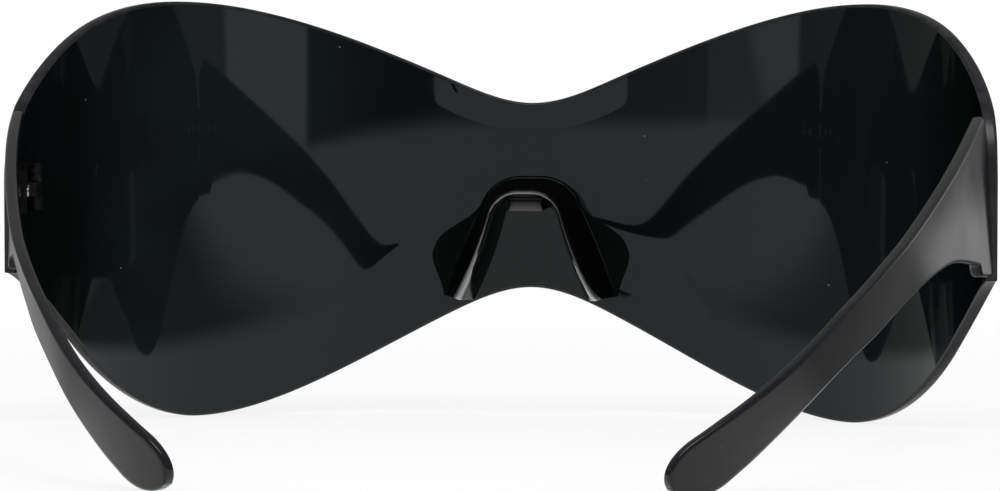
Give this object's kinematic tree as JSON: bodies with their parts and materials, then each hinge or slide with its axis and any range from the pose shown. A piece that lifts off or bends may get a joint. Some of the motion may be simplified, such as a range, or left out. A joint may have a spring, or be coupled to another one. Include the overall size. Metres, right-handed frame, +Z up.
{
  "type": "shield sunglasses",
  "caption": "Wrap-round shield sunglasses with a rimless butterfly lens, a moulded nose saddle and thin arms on barrel hinges that fold inwards, standing open.",
  "frame": {"origin": "on the table that the glasses stand on, under the middle of their overall width and depth", "axes": "+X to the wearer's right, across the lens; +Y forward, the way the wearer looks; +Z up"},
  "size_m": [0.1546, 0.1703, 0.067],
  "materials": {
    "lens": "dark tinted sheet, polished on both faces",
    "saddle": "glossy black moulding",
    "temple": "satin silver-grey coat over moulded plastic",
    "hinge_metal": "blackened",
    "screw_metal": "turned"
  },
  "bodies": {
    "front": {"shield_lens": "lens", "nose_saddle": "saddle", "left_hinge_base": "hinge_metal", "left_base_screws": "screw_metal", "left_hinge_screw": "screw_metal", "right_hinge_base": "hinge_metal", "right_base_screws": "screw_metal", "right_hinge_screw": "screw_metal"},
    "left_arm": {"left_temple": "temple", "left_hinge_leaf": "hinge_metal", "left_leaf_screws": "screw_metal"},
    "right_arm": {"right_temple": "temple", "right_hinge_leaf": "hinge_metal", "right_leaf_screws": "screw_metal"}
  },
  "joints": [
    {"name": "left_temple_fold", "type": "hinge", "parent": "front", "child": "left_arm", "pos_m": [-0.07214, 0.02716, 0.0382], "axis": [0, -0.0314, 0.9995], "range_deg": [0, 80]},
    {"name": "right_temple_fold", "type": "hinge", "parent": "front", "child": "right_arm", "pos_m": [0.07214, 0.02716, 0.0382], "axis": [0, -0.0314, 0.9995], "range_deg": [-74, 0]}
  ]
}
